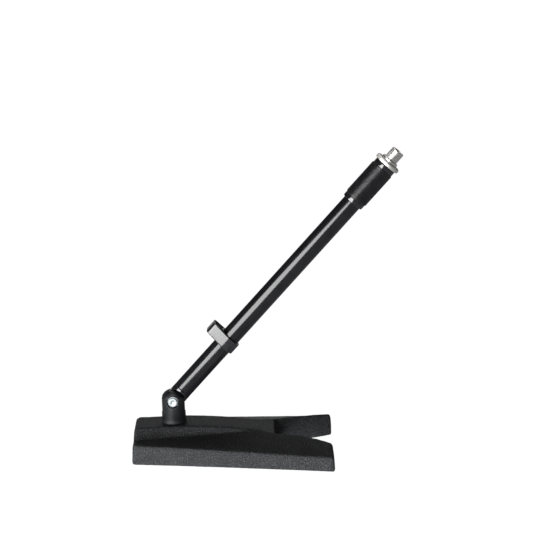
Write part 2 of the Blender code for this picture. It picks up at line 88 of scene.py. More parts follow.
CLEARANCE = 0.3           # millimetres between any two pieces that meet
BOLT_RADIUS = 3.0
BOLT_HOLE_RADIUS = BOLT_RADIUS + CLEARANCE
SET_SCREW_HOLE_RADIUS = 2.8
SET_SCREW_PLACE = Matrix.Translation((0.0, 0.0, 32.0)) @ ALONG_Y
NUT_RECESS_FLATS = 11.2
NUT_RECESS_START = 7.4
TAPPED_HOLE_RADIUS = 5.3
TAPPED_HOLE_TOP = -16.5


def span(node, home=ARM):
    """Start, end, inner and outer radius of a CAD node along its frame's Z, in millimetres."""
    back = home.inverted()
    points = [back @ vertex.co for vertex in frame["nodes"][node].data.vertices]
    heights = [point.z for point in points]
    radii = [point.xy.length for point in points]
    return min(heights), max(heights), min(radii), max(radii)


# ---------------------------------------------------------------- camera and studio
CAMERA_PITCH = math.radians(13.42)
CAMERA_DISTANCE = 2.4458
CAMERA_TARGET = Vector((-0.00068, 0.0, 0.22063))
CAMERA_LENS = 143.84

FLOOR_RADIUS = 14.0
FLOOR_DROP = 0.0002


def make_camera():
    data = bpy.data.cameras.new("camera")
    data.lens = CAMERA_LENS
    data.sensor_width = 36.0
    data.clip_end = 60.0
    camera = bpy.data.objects.new("camera", data)
    bpy.context.scene.collection.objects.link(camera)
    back = Vector((0.0, -math.cos(CAMERA_PITCH), math.sin(CAMERA_PITCH)))
    camera.location = CAMERA_TARGET + back * CAMERA_DISTANCE
    camera.rotation_euler = (math.pi / 2 - CAMERA_PITCH, 0.0, 0.0)
    bpy.context.scene.camera = camera


def softbox(name, azimuth, elevation, distance, width, height, radiance, diffuse=True, glossy=True):
    """Rectangular area light that faces the middle of the arm. Azimuth 0 is the camera's side, 90 is -X."""
    data = bpy.data.lights.new(name, "AREA")
    data.shape = "RECTANGLE"
    data.size = width
    data.size_y = height
    data.energy = radiance * math.pi * width * height
    light = bpy.data.objects.new(name, data)
    bpy.context.scene.collection.objects.link(light)
    around, up = math.radians(azimuth), math.radians(elevation)
    away = Vector((-math.sin(around) * math.cos(up), -math.cos(around) * math.cos(up), math.sin(up)))
    centre = (CAD_BOX[0] + CAD_BOX[1]) / 2
    light.location = centre + away * distance
    light.rotation_mode = "QUATERNION"
    light.rotation_quaternion = away.to_track_quat("Z", "Y")
    light.visible_camera = False
    light.visible_diffuse = diffuse
    light.visible_glossy = glossy


def make_floor():
    """Pale floor, nearly shadowless, that can be looked through from below."""
    builder = bmesh.new()
    bmesh.ops.create_circle(builder, cap_ends=True, segments=96, radius=FLOOR_RADIUS)
    mesh = bpy.data.meshes.new("floor")
    builder.to_mesh(mesh)
    builder.free()
    floor = bpy.data.objects.new("floor", mesh)
    bpy.context.scene.collection.objects.link(floor)
    floor.location.z = -FLOOR_DROP
    floor.visible_glossy = False
    floor.visible_diffuse = False
    floor.visible_shadow = False
    paper = bpy.data.materials.new("pale_floor")
    paper.use_nodes = True
    nodes, links = paper.node_tree.nodes, paper.node_tree.links
    shader = nodes["Principled BSDF"]
    shader.inputs["Base Color"].default_value = (0.35, 0.35, 0.35, 1.0)
    shader.inputs["Roughness"].default_value = 0.9
    shader.inputs["Emission Color"].default_value = (1.0, 1.0, 1.0, 1.0)
    shader.inputs["Emission Strength"].default_value = 1.0
    geometry = nodes.new("ShaderNodeNewGeometry")
    clear = nodes.new("ShaderNodeBsdfTransparent")
    pick = nodes.new("ShaderNodeMixShader")
    links.new(geometry.outputs["Backfacing"], pick.inputs["Fac"])
    links.new(shader.outputs["BSDF"], pick.inputs[1])
    links.new(clear.outputs["BSDF"], pick.inputs[2])
    links.new(pick.outputs["Shader"], nodes["Material Output"].inputs["Surface"])
    mesh.materials.append(paper)


SKY_LOW = 0.25       # radiance below the horizon, the floor's glow
SKY_HIGH = 0.028     # and above it
BACK_GLOW = 0.42     # the lit backdrop, low down behind the stand
BACK_GLOW_EDGE = 29.0  # degrees from the backdrop's middle to the glow's edge


def make_world():
    """White to the eye. As a light: a glow from below, dim above, and a lit backdrop behind."""
    world = bpy.data.worlds.new("studio")
    bpy.context.scene.world = world
    world.use_nodes = True
    nodes, links = world.node_tree.nodes, world.node_tree.links
    direction = nodes.new("ShaderNodeTexCoord").outputs["Generated"]

    def glow(toward, start, end, low, high):
        """Radiance from low to high, as the direction's share along toward runs from start to end."""
        along = nodes.new("ShaderNodeVectorMath")
        along.operation = "DOT_PRODUCT"
        along.inputs[1].default_value = Vector(toward).normalized()
        ramp = nodes.new("ShaderNodeMapRange")
        ramp.interpolation_type = "SMOOTHSTEP"
        for socket, value in (("From Min", start), ("From Max", end), ("To Min", low), ("To Max", high)):
            ramp.inputs[socket].default_value = value
        links.new(direction, along.inputs[0])
        links.new(along.outputs["Value"], ramp.inputs["Value"])
        return ramp.outputs["Result"]

    total = nodes.new("ShaderNodeMath")
    links.new(glow((0.0, 0.0, 1.0), -0.15, 0.30, SKY_LOW, SKY_HIGH), total.inputs[0])
    edge = math.cos(math.radians(BACK_GLOW_EDGE))
    links.new(glow((0.0, 0.98, 0.17), edge, 0.99, 0.0, BACK_GLOW), total.inputs[1])
    light = nodes["Background"]
    links.new(total.outputs["Value"], light.inputs["Strength"])
    light.inputs["Color"].default_value = (0.97, 0.985, 1.0, 1.0)
    white = nodes.new("ShaderNodeBackground")
    path = nodes.new("ShaderNodeLightPath")
    pick = nodes.new("ShaderNodeMixShader")
    links.new(path.outputs["Is Camera Ray"], pick.inputs["Fac"])
    links.new(light.outputs["Background"], pick.inputs[1])
    links.new(white.outputs["Background"], pick.inputs[2])
    white.inputs["Color"].default_value = (1.0, 1.0, 1.0, 1.0)
    links.new(pick.outputs["Shader"], nodes["World Output"].inputs["Surface"])


def make_studio():
    make_camera()
    make_floor()
    make_world()
    softbox("key_softbox", 36.0, 12.0, 2.2, 1.75, 1.3, 11.0, diffuse=False)
    softbox("floor_bounce", 32.0, -22.0, 2.2, 1.2, 1.2, 24.0, glossy=False)
    softbox("high_strip", 20.0, 63.0, 2.2, 1.4, 0.7, 3.0, diffuse=False)
    softbox("top_strip", 180.0, 66.0, 2.0, 1.6, 0.5, 2.2, diffuse=False)
    bpy.context.scene.view_settings.view_transform = "Standard"


# ---------------------------------------------------------------- materials
MIX_UNDER, MIX_OVER, MIX_RESULT = 6, 7, 2  # the colour sockets of a Mix node


class Finish:
    """A Principled material whose colour, roughness and relief come from procedural patterns."""

    def __init__(self, name, metallic=0.0, coat=0.0, home=WORLD):
        self.material = bpy.data.materials.new(name)
        self.material.use_nodes = True
        self.nodes = self.material.node_tree.nodes
        self.links = self.material.node_tree.links
        self.shader = self.nodes["Principled BSDF"]
        self.shader.inputs["Metallic"].default_value = metallic
        if coat > 0.0:
            self.shader.inputs["Coat Weight"].default_value = coat
            self.shader.inputs["Coat Roughness"].default_value = 0.06
        place = self.nodes.new("ShaderNodeTexCoord")
        turn = self.nodes.new("ShaderNodeMapping")
        turn.vector_type = "TEXTURE"
        turn.inputs["Location"].default_value = home.to_translation()
        turn.inputs["Rotation"].default_value = home.to_euler()
        turn.inputs["Scale"].default_value = (MM, MM, MM)
        self.link(place.outputs["Object"], turn.inputs["Vector"])
        self.place = turn.outputs["Vector"]

    def link(self, output, socket):
        self.links.new(output, socket)

    def noise(self, size, detail=3.0, rough=0.55, stretch=(1.0, 1.0, 1.0)):
        """Noise with lumps about size millimetres across."""
        scaled = self.nodes.new("ShaderNodeVectorMath")
        scaled.operation = "MULTIPLY"
        scaled.inputs[1].default_value = stretch
        self.link(self.place, scaled.inputs[0])
        pattern = self.nodes.new("ShaderNodeTexNoise")
        pattern.inputs["Scale"].default_value = 1.0 / size
        pattern.inputs["Detail"].default_value = detail
        pattern.inputs["Roughness"].default_value = rough
        self.link(scaled.outputs["Vector"], pattern.inputs["Vector"])
        return pattern.outputs["Fac"]

    def pebbles(self, size):
        """Rounded cells about size millimetres across."""
        pattern = self.nodes.new("ShaderNodeTexVoronoi")
        pattern.feature = "SMOOTH_F1"
        pattern.inputs["Scale"].default_value = 1.0 / size
        pattern.inputs["Smoothness"].default_value = 0.6
        self.link(self.place, pattern.inputs["Vector"])
        return pattern.outputs["Distance"]

    def rings(self, size, wobble=0.4):
        """Turning marks about size millimetres apart along the frame's Z."""
        pattern = self.nodes.new("ShaderNodeTexWave")
        pattern.wave_type = "BANDS"
        pattern.bands_direction = "Z"
        pattern.inputs["Scale"].default_value = 0.314 / size
        pattern.inputs["Distortion"].default_value = wobble
        pattern.inputs["Detail"].default_value = 2.0
        self.link(self.place, pattern.inputs["Vector"])
        return pattern.outputs["Fac"]

    def spread(self, value, low, high, start=0.3, end=0.7):
        """Carry a pattern's start..end to low..high."""
        change = self.nodes.new("ShaderNodeMapRange")
        change.inputs["From Min"].default_value = start
        change.inputs["From Max"].default_value = end
        change.inputs["To Min"].default_value = low
        change.inputs["To Max"].default_value = high
        self.link(value, change.inputs["Value"])
        return change.outputs["Result"]

    def height(self):
        """Millimetres along the frame's Z."""
        split = self.nodes.new("ShaderNodeSeparateXYZ")
        self.link(self.place, split.inputs["Vector"])
        return split.outputs["Z"]

    def edges(self, start=0.515, end=0.60):
        """1 on raised edges, 0 elsewhere."""
        geometry = self.nodes.new("ShaderNodeNewGeometry")
        return self.spread(geometry.outputs["Pointiness"], 0.0, 1.0, start, end)

    def times(self, first, second):
        product = self.nodes.new("ShaderNodeMath")
        product.operation = "MULTIPLY"
        self.link(first, product.inputs[0])
        self.link(second, product.inputs[1])
        return product.outputs["Value"]

    def colour(self, *layers):
        """Layers are (colour, share); the first has no share, and each later one lies over the others."""
        current = None
        for tint, share in layers:
            mix = self.nodes.new("ShaderNodeMix")
            mix.data_type = "RGBA"
            if current is None:
                mix.inputs[MIX_UNDER].default_value = (*tint, 1.0)
                mix.inputs["Factor"].default_value = 0.0
            else:
                self.link(current, mix.inputs[MIX_UNDER])
                self.link(share, mix.inputs["Factor"])
            mix.inputs[MIX_OVER].default_value = (*tint, 1.0)
            current = mix.outputs[MIX_RESULT]
        self.link(current, self.shader.inputs["Base Color"])

    def roughness(self, value):
        self.link(value, self.shader.inputs["Roughness"])

    def relief(self, *patterns):
        """Patterns are (height, depth in millimetres), stacked."""
        normal = None
        for height, depth in patterns:
            bump = self.nodes.new("ShaderNodeBump")
            bump.inputs["Distance"].default_value = depth * MM
            self.link(height, bump.inputs["Height"])
            if normal is not None:
                self.link(normal, bump.inputs["Normal"])
            normal = bump.outputs["Normal"]
        self.link(normal, self.shader.inputs["Normal"])


def textured_paint():
    """Charcoal powder coat with a pebbled wrinkle: its raised crowns coloured paler as a painted highlight,
    its rims paler from rubbed wear and a painted highlight.
    """
    paint = Finish("wrinkle_paint")
    grain = paint.pebbles(1.6)
    speckle_and_glint = paint.noise(1.5, 5.0, 0.7)
    cloud = paint.noise(26.0)
    paint.shader.inputs["Specular IOR Level"].default_value = 0.24
    paint.colour(
        ((0.020, 0.0208, 0.0225), None),
        ((0.027, 0.028, 0.0305), paint.spread(cloud, 0.0, 1.0)),
        # painted highlight: paler colour on the raised crowns, standing in for glints of light on the grain
        ((0.062, 0.064, 0.068), paint.spread(speckle_and_glint, 0.0, 1.0, 0.47, 0.66)),
        # paler rims: rubbed wear together with a painted highlight along the edges
        ((0.090, 0.093, 0.099), paint.times(paint.edges(), paint.spread(speckle_and_glint, 0.1, 0.9))),
    )
    paint.roughness(paint.spread(speckle_and_glint, 0.54, 0.38))
    paint.relief((cloud, 0.25), (grain, 0.9), (speckle_and_glint, 0.9))
    return paint.material


def satin_black():
    """Satin black on the post: rubbed at its rims, and matt where the coat pooled at the foot."""
    paint = Finish("satin_black", home=POST)
    cloud = paint.noise(9.0)
    fine = paint.noise(0.8, 4.0, 0.6)
    paint.colour(
        ((0.008, 0.0085, 0.010), None),
        ((0.014, 0.015, 0.017), paint.spread(cloud, 0.0, 1.0)),
        ((0.045, 0.047, 0.051), paint.times(paint.edges(0.54, 0.66), paint.spread(fine, 0.0, 0.6))),
    )
    paint.roughness(paint.spread(paint.height(), 0.62, 0.36, -24.0, -19.0))
    paint.relief((fine, 0.004), (cloud, 0.02))
    return paint.material


def polished_black():
    """Deep black, polished on the lathe: crisp highlights with faint turning marks."""
    paint = Finish("polished_black", home=ARM)
    cloud = paint.noise(7.0)
    fine = paint.noise(0.7, 4.0, 0.6)
    paint.colour(
        ((0.007, 0.007, 0.008), None),
        ((0.013, 0.013, 0.015), paint.spread(cloud, 0.0, 1.0)),
        ((0.040, 0.041, 0.044), paint.times(paint.edges(0.53, 0.64), paint.spread(fine, 0.0, 0.6))),
    )
    paint.shader.inputs["Specular IOR Level"].default_value = 0.85
    paint.roughness(paint.spread(cloud, 0.07, 0.12))
    paint.relief((fine, 0.001), (paint.rings(0.7), 0.0008))
    return paint.material


def gloss_black():
    """Gloss black powder coat on the tube, with a slight orange peel and hairline scuffs along it."""
    paint = Finish("gloss_black", home=ARM)
    cloud = paint.noise(14.0)
    peel = paint.noise(2.4, 2.0)
    scuff = paint.noise(1.1, 5.0, 0.7, (1.0, 1.0, 0.06))
    paint.colour(
        ((0.006, 0.006, 0.007), None),
        ((0.011, 0.011, 0.013), paint.spread(cloud, 0.0, 1.0)),
        ((0.030, 0.030, 0.032), paint.spread(scuff, 0.0, 0.5, 0.66, 0.85)),
    )
    paint.roughness(paint.spread(scuff, 0.13, 0.21, 0.35, 0.8))
    paint.relief((peel, 0.006), (scuff, 0.003))
    return paint.material


def black_nylon():
    """Moulded nylon: smooth, with a soft mottle and paler scuffed edges."""
    plastic = Finish("moulded_nylon", home=ARM)
    cloud = plastic.noise(6.0)
    fine = plastic.noise(0.5, 4.0, 0.65)
    plastic.colour(
        ((0.012, 0.012, 0.014), None),
        ((0.020, 0.020, 0.023), plastic.spread(cloud, 0.0, 1.0)),
        ((0.050, 0.050, 0.053), plastic.times(plastic.edges(), plastic.spread(fine, 0.0, 0.6))),
    )
    plastic.shader.inputs["Specular IOR Level"].default_value = 0.7
    plastic.roughness(plastic.spread(fine, 0.09, 0.15))
    plastic.relief((cloud, 0.006), (fine, 0.0008))
    return plastic.material


def knurled_black():
    """Black anodised knurl, worn paler on the diamonds' points."""
    metal = Finish("knurled_anodised", home=ARM)
    cloud = metal.noise(7.0)
    fine = metal.noise(0.35, 3.0, 0.7)
    metal.colour(
        ((0.008, 0.008, 0.009), None),
        ((0.015, 0.015, 0.017), metal.spread(cloud, 0.0, 1.0)),
        ((0.045, 0.046, 0.049), metal.times(metal.edges(0.55, 0.72), metal.spread(fine, 0.1, 0.7))),
    )
    metal.roughness(metal.spread(fine, 0.26, 0.38))
    metal.relief((fine, 0.002), (cloud, 0.004))
    return metal.material


def nickel(name, low, high):
    """Bright nickel on turned steel, with turning marks, a faint warm haze and painted reflections: darker
    warm streaks along the axis; roughness from low to high.
    """
    metal = Finish(name, metallic=1.0, home=ARM)
    cloud = metal.noise(4.0)
    fine = metal.noise(0.4, 4.0, 0.7)
    reflection_streak = metal.noise(1.3, 3.0, 0.6, (1.0, 1.0, 0.12))
    metal.colour(
        ((0.92, 0.90, 0.87), None),
        ((0.84, 0.815, 0.775), metal.spread(cloud, 0.0, 0.8)),
        # painted reflection: darker warm streaks along the axis, standing in for reflected dark surroundings
        ((0.60, 0.56, 0.51), metal.spread(reflection_streak, 0.0, 0.45, 0.55, 0.8)),
    )
    metal.roughness(metal.spread(cloud, low, high))
    metal.relief((metal.rings(0.35), 0.002), (fine, 0.002))
    return metal.material


def zinc():
    """Zinc-plated fasteners, bluish, with a crystalline mottle."""
    metal = Finish("bright_zinc", metallic=1.0, home=POST)
    cloud = metal.noise(2.5)
    fine = metal.pebbles(0.5)
    metal.colour(
        ((0.80, 0.86, 0.88), None),
        ((0.90, 0.95, 0.96), metal.spread(cloud, 0.0, 1.0)),
        ((0.66, 0.70, 0.71), metal.spread(fine, 0.0, 0.4, 0.4, 0.9)),
    )
    metal.roughness(metal.spread(cloud, 0.46, 0.58))
    metal.relief((fine, 0.012),)
    return metal.material


def rubber():
    """Matt black rubber with a dusty grain."""
    sole = Finish("foot_rubber")
    cloud = sole.noise(5.0)
    fine = sole.noise(0.4, 4.0, 0.7)
    sole.colour(
        ((0.014, 0.014, 0.014), None),
        ((0.026, 0.026, 0.025), sole.spread(cloud, 0.0, 1.0)),
        ((0.060, 0.058, 0.055), sole.spread(fine, 0.0, 0.5, 0.6, 0.8)),
    )
    sole.roughness(sole.spread(fine, 0.78, 0.95))
    sole.relief((fine, 0.04),)
    return sole.material


def natural_nylon():
    """Unpigmented nylon: waxy, off-white."""
    plastic = Finish("natural_nylon", home=ARM)
    cloud = plastic.noise(5.0)
    fine = plastic.noise(0.5, 3.0, 0.6)
    plastic.colour(
        ((0.66, 0.64, 0.58), None),
        ((0.76, 0.74, 0.68), plastic.spread(cloud, 0.0, 1.0)),
        ((0.50, 0.48, 0.42), plastic.spread(fine, 0.0, 0.4, 0.62, 0.85)),
    )
    plastic.roughness(plastic.spread(fine, 0.36, 0.52))
    plastic.relief((fine, 0.015),)
    return plastic.material


MATERIALS = {
    "textured_paint": textured_paint(),
    "satin_black_metal": satin_black(),
    "polished_black": polished_black(),
    "gloss_black_tube": gloss_black(),
    "black_nylon": black_nylon(),
    "knurled_black": knurled_black(),
    "nickel": nickel("bright_nickel", 0.30, 0.42),
    "blasted_nickel": nickel("blasted_nickel", 0.52, 0.64),
    "zinc": zinc(),
    "rubber": rubber(),
    "natural_nylon": natural_nylon(),
}


# ---------------------------------------------------------------- mesh tools, in millimetres
def turned(profile, sides=128):
    """Solid of revolution about Z. The profile is a closed loop of (radius, height) points."""
    builder = bmesh.new()
    rings = []
    for radius, height in profile:
        if radius < 1e-6:
            rings.append([builder.verts.new((0.0, 0.0, height))])
            continue
        turn = [2.0 * math.pi * index / sides for index in range(sides)]
        rings.append([builder.verts.new((radius * math.cos(a), radius * math.sin(a), height)) for a in turn])
    for here, there in zip(rings, rings[1:] + rings[:1]):
        if len(here) == 1 and len(there) == 1:
            continue
        for index in range(sides):
            after = (index + 1) % sides
            corners = [here[index % len(here)], there[index % len(there)]]
            corners += [there[after % len(there)], here[after % len(here)]]
            builder.faces.new(list(dict.fromkeys(corners)))
    return builder


def arc(centre, radius, start, end, steps):
    """Points on an arc, angles in degrees, both ends included."""
    turn = [math.radians(start + (end - start) * step / steps) for step in range(steps + 1)]
    return [(centre[0] + radius * math.cos(angle), centre[1] + radius * math.sin(angle)) for angle in turn]


def rounded(profile, radius, steps=4):
    """Break each corner of a closed profile with an arc-like curve that starts radius before the corner."""
    points = []
    count = len(profile)
    for index in range(count):
        before = Vector(profile[index - 1])
        corner = Vector(profile[index])
        after = Vector(profile[(index + 1) % count])
        if corner.x < 1e-6:
            points.append(tuple(corner))
            continue
        reach_in = min(radius, (before - corner).length * 0.45)
        reach_out = min(radius, (after - corner).length * 0.45)
        first = corner + (before - corner).normalized() * reach_in
        last = corner + (after - corner).normalized() * reach_out
        for step in range(steps + 1):
            share = step / steps
            blend = first * (1 - share) ** 2 + corner * 2 * share * (1 - share) + last * share ** 2
            points.append(tuple(blend))
    return points


def prism(outline, low, high):
    """Extrude a closed outline of (x, y) points from low to high along Z."""
    builder = bmesh.new()
    bottom = [builder.verts.new((x, y, low)) for x, y in outline]
    lifted = bmesh.ops.extrude_face_region(builder, geom=[builder.faces.new(bottom)])
    top = [item for item in lifted["geom"] if isinstance(item, bmesh.types.BMVert)]
    bmesh.ops.translate(builder, vec=(0.0, 0.0, high - low), verts=top)
    return builder


def block(low, high):
    outline = [(low[0], low[1]), (high[0], low[1]), (high[0], high[1]), (low[0], high[1])]
    return prism(outline, low[2], high[2])


def rod(radius, low, high, sides=96):
    return turned([(0.0, low), (radius, low), (radius, high), (0.0, high)], sides)


def hexagon(across_flats):
    return arc((0.0, 0.0), across_flats / math.sqrt(3.0), 0.0, 300.0, 5)


def moved(builder, matrix):
    builder.transform(matrix)
    return builder


def work_object(builder):
    bmesh.ops.recalc_face_normals(builder, faces=builder.faces)
    mesh = bpy.data.meshes.new("work")
    builder.to_mesh(mesh)
    builder.free()
    made = bpy.data.objects.new("work", mesh)
    bpy.context.scene.collection.objects.link(made)
    return made


def bake(made):
    """Replace an object's mesh with what its modifiers make of it."""
    graph = bpy.context.evaluated_depsgraph_get()
    mesh = bpy.data.meshes.new_from_object(made.evaluated_get(graph))
    made.modifiers.clear()
    made.data = mesh
    return made


def carved(builder, *steps):
    """Apply (operation, builder) Booleans in turn."""
    made = work_object(builder)
    tools = []
    for operation, tool_builder in steps:
        tool = work_object(tool_builder)
        change = made.modifiers.new("cut", "BOOLEAN")
        change.operation = operation
        change.solver = "EXACT"
        change.object = tool
        tools.append(tool)
    bake(made)
    for tool in tools:
        bpy.data.objects.remove(tool, do_unlink=True)
    return made


def softened(made, voxel, passes):
    """Round every edge over: remesh to even quads of voxel millimetres, then relax them."""
    grid = made.modifiers.new("grid", "REMESH")
    grid.mode = "VOXEL"
    grid.voxel_size = voxel
    relax = made.modifiers.new("relax", "SMOOTH")
    relax.factor = 0.5
    relax.iterations = passes
    return bake(made)


def dress(made, name, home, body, slot, *nodes, crease=35.0, finish=None):
    """Carry a work object to its place, name it, give it its finish and let it stand for CAD nodes."""
    made.data.transform(home)
    made.name = name
    made.data.name = name
    made.data.materials.clear()
    made.data.materials.append(MATERIALS[finish or slot])
    made.data.shade_smooth()
    if crease is not None:
        made.data.set_sharp_from_angle(angle=math.radians(crease))
    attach(made, body)
    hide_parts(*nodes)
    return made


# ---------------------------------------------------------------- casting and feet
CASTING_VOXEL = 0.9
CASTING_PASSES = 30
CASTING_SWELL = 0.40     # makes up for what the smoothing takes off
POST_VOXEL = 0.24
POST_PASSES = 7


def make_casting():
    """The CAD casting with its edges rounded over, a coat of paint and a sand casting's unevenness."""
    builder = bmesh.new()
    builder.from_mesh(frame["nodes"]["base_casting"].data)
    builder.transform(WORLD.inverted())
    casting = softened(work_object(builder), CASTING_VOXEL, CASTING_PASSES)
    normals = [vertex.normal.copy() for vertex in casting.data.vertices]
    for vertex, normal in zip(casting.data.vertices, normals):
        swell = CASTING_SWELL + noise.noise(vertex.co / 16.0) * 0.10 + noise.noise(vertex.co / 3.2) * 0.07
        vertex.co += normal * swell
    dress(casting, "casting_skin", WORLD, "stand", "textured_paint", "base_casting", crease=None)


def make_feet():
    """Rubber feet with a rounded rim and concentric grooves on the sole."""
    for side in ("rear_left", "rear_right", "front_left", "front_right"):
        node = "rubber_foot_" + side
        low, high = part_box(node)
        radius = (high.x - low.x) / 2 / MM
        height = (high.z - low.z) / MM
        profile = [(0.0, 0.0)]
        for groove in (2.6, 4.6, 6.6):
            profile += [(groove - 0.5, 0.0), (groove - 0.3, 0.6), (groove + 0.3, 0.6), (groove + 0.5, 0.0)]
        profile += [(radius - 0.8, 0.0), (radius, 0.8), (radius, height), (0.0, height)]
        middle = (low + high) / 2
        home = Matrix.Translation((middle.x, middle.y, low.z)) @ WORLD
        foot = work_object(turned(rounded(profile, 0.35, 3), 96))
        dress(foot, "sole_" + side, home, "stand", "rubber", node)


# ---------------------------------------------------------------- post and fasteners
POST_RADIUS = 13.9
POST_FLARE = 1.0
POST_DOME_RADIUS = 15.3
POST_DOME_CENTRE = -1.6
POST_FLARE_HEIGHT = 4.0
POST_FOOT_HEIGHT = 0.6
SLOT_HALF_WIDTH = 4.4
SLOT_FLOOR = -13.4
RECESS_RADIUS = 7.0
RECESS_DEPTH_AT = -7.4


def post_profile(foot):
    """Flared foot, straight shank with a fine rim, and a domed top."""
    flare = []
    for step in range(1, 11):
        angle = math.radians(9.0 * step)
        rise = POST_FOOT_HEIGHT + POST_FLARE_HEIGHT * (1.0 - math.cos(angle))
        flare.append((POST_RADIUS + POST_FLARE * (1.0 - math.sin(angle)), foot + rise))
    start = math.degrees(math.acos(POST_RADIUS / POST_DOME_RADIUS))
    dome = arc((0.0, POST_DOME_CENTRE), POST_DOME_RADIUS, start, 90.0, 16)
    dome[-1] = (0.0, dome[-1][1])
    widest = POST_RADIUS + POST_FLARE
    return [(0.0, foot), (widest, foot), (widest, foot + POST_FOOT_HEIGHT)] + flare + dome


def make_post():
    foot = span("pivot_post", POST)[0]
    slot = block((-20.0, -SLOT_HALF_WIDTH, SLOT_FLOOR), (20.0, SLOT_HALF_WIDTH, 20.0))
    post = carved(
        turned(post_profile(foot), 160),
        ("DIFFERENCE", slot),
        ("DIFFERENCE", moved(rod(BOLT_HOLE_RADIUS, -20.0, 20.0), ALONG_Y)),
        ("DIFFERENCE", moved(rod(RECESS_RADIUS, -20.0, RECESS_DEPTH_AT), ALONG_Y)),
        ("DIFFERENCE", moved(prism(hexagon(NUT_RECESS_FLATS), NUT_RECESS_START, 20.0), ALONG_Y)),
        ("DIFFERENCE", rod(TAPPED_HOLE_RADIUS, -30.0, TAPPED_HOLE_TOP)),
    )
    softened(post, POST_VOXEL, POST_PASSES)
    dress(post, "clevis_post", POST, "stand", "satin_black_metal", "pivot_post", crease=None)


def make_pivot_bolt():
    """Socket screw with a finely serrated head and a hexagon socket."""
    head_low, head_high, head_radius = -12.7, -8.8, 5.2
    end = 12.9
    serrations = 36
    profile = [(0.0, head_low), (head_radius - 0.5, head_low), (head_radius, head_low + 0.5)]
    profile += [(head_radius, head_high), (BOLT_RADIUS, head_high)]
    profile += [(BOLT_RADIUS, end - 0.6), (BOLT_RADIUS - 0.6, end), (0.0, end)]
    builder = turned(profile, 144)
    for vertex in builder.verts:
        if abs(vertex.co.xy.length - head_radius) < 0.01 and vertex.co.z > head_low + 0.6:
            turn = math.atan2(vertex.co.y, vertex.co.x)
            vertex.co.xy *= 1.0 - 0.022 * (0.5 - 0.5 * math.cos(serrations * turn))
    socket = prism(hexagon(4.0), head_low - 1.0, head_low + 2.4)
    cone = [(0.0, head_low - 1.0), (2.35, head_low - 1.0), (2.35, head_low + 0.12), (0.0, head_low + 2.8)]
    drill = turned(cone, 48)
    bolt = carved(builder, ("DIFFERENCE", socket), ("DIFFERENCE", drill))
    bolt.data.transform(ALONG_Y)
    edge = bolt.modifiers.new("edge", "BEVEL")
    edge.width = 0.12
    edge.segments = 2
    edge.limit_method = "ANGLE"
    edge.angle_limit = math.radians(40.0)
    bake(bolt)
    dress(bolt, "socket_screw", POST, "stand", "zinc", "pivot_bolt", crease=30.0)


def keep_node(node, slot, edge_width=0.0):
    """Finish a CAD node that keeps its shape, with its edges broken."""
    piece = frame["nodes"][node]
    piece.data.materials.clear()
    piece.data.materials.append(MATERIALS[slot])
    if edge_width > 0.0:
        edge = piece.modifiers.new("edge", "BEVEL")
        edge.width = edge_width * MM
        edge.segments = 2
        edge.limit_method = "ANGLE"
        edge.angle_limit = math.radians(40.0)


def keep_hardware():
    for node in ("pivot_nut", "pivot_washer", "base_flat_washer", "base_lock_washer", "knuckle_set_screw"):
        keep_node(node, "zinc", 0.12)
    for node in ("base_bolt", "post_dowel"):
        keep_node(node, "zinc", 0.2)
    for node in ("friction_washer_left", "friction_washer_right"):
        keep_node(node, "natural_nylon", 0.1)
    for node in ("clutch_collet", "guide_bush"):
        keep_node(node, "natural_nylon", 0.15)


# ---------------------------------------------------------------- arm
EYE_RADIUS = 10.9
COPE_RADIUS = 15.0
TONGUE_HALF_WIDTH = 2.9


def make_knuckle():
    """Fitting in the tube's end: ring, coped shoulder and a round-ended tongue."""
    top = span("knuckle")[1]
    tube_start, _, bore, radius = span("outer_tube")
    ring_end = tube_start - CLEARANCE
    plug = bore - CLEARANCE
    fitting = [(0.0, 8.5), (radius, 8.5), (radius, ring_end - 0.5), (radius - 0.5, ring_end)]
    fitting += [(plug, ring_end), (plug, top - 1.0), (plug - 1.0, top), (0.0, top)]
    tongue = arc((0.0, 0.0), EYE_RADIUS, 180.0, 0.0, 40) + [(EYE_RADIUS, -16.0), (-EYE_RADIUS, -16.0)]
    knuckle = carved(
        turned(fitting, 160),
        ("DIFFERENCE", moved(rod(COPE_RADIUS, -20.0, 20.0, 160), ALONG_Y)),
        ("UNION", moved(prism(tongue, -TONGUE_HALF_WIDTH, TONGUE_HALF_WIDTH), ALONG_Y)),
        ("DIFFERENCE", moved(rod(BOLT_HOLE_RADIUS, -20.0, 20.0), ALONG_Y)),
        ("DIFFERENCE", moved(rod(SET_SCREW_HOLE_RADIUS, 3.5, 15.0), SET_SCREW_PLACE)),
    )
    softened(knuckle, POST_VOXEL, POST_PASSES)
    dress(knuckle, "knuckle_fitting", ARM, "arm", "satin_black_metal", "knuckle",
          crease=None, finish="polished_black")


def make_tube():
    """Outer tube with its ends faced and broken, and the set screw's hole."""
    start, end, bore, radius = span("outer_tube")
    profile = rounded([(bore, start), (radius, start), (radius, end), (bore, end)], 0.35)
    hole = moved(rod(SET_SCREW_HOLE_RADIUS, 5.0, 15.0, 48), SET_SCREW_PLACE)
    tube = carved(turned(profile, 192), ("DIFFERENCE", hole))
    dress(tube, "arm_tube", ARM, "arm", "gloss_black_tube", "outer_tube", crease=30.0)


CLIP_RING_RADIUS = 13.8
CLIP_CORNER_RADIUS = 5.0
CLIP_CORNER = (21.4, 5.0)
CLIP_WALL = 2.2
CLIP_LEAN = 0.065


def clip_outline(ring_radius, corner_radius):
    """Outline round the tube and round the two corners of the cable loop, with straight tapering sides."""
    out, aside = CLIP_CORNER
    turn = math.asin((ring_radius - corner_radius) / math.hypot(out, aside)) - math.atan2(aside, out)
    taper = math.degrees(turn)
    outline = arc((-out, aside), corner_radius, 90.0 + taper, 180.0, 16)
    outline += arc((-out, -aside), corner_radius, 180.0, 270.0 - taper, 16)
    return outline + arc((0.0, 0.0), ring_radius, -90.0 - taper, 90.0 + taper, 60)


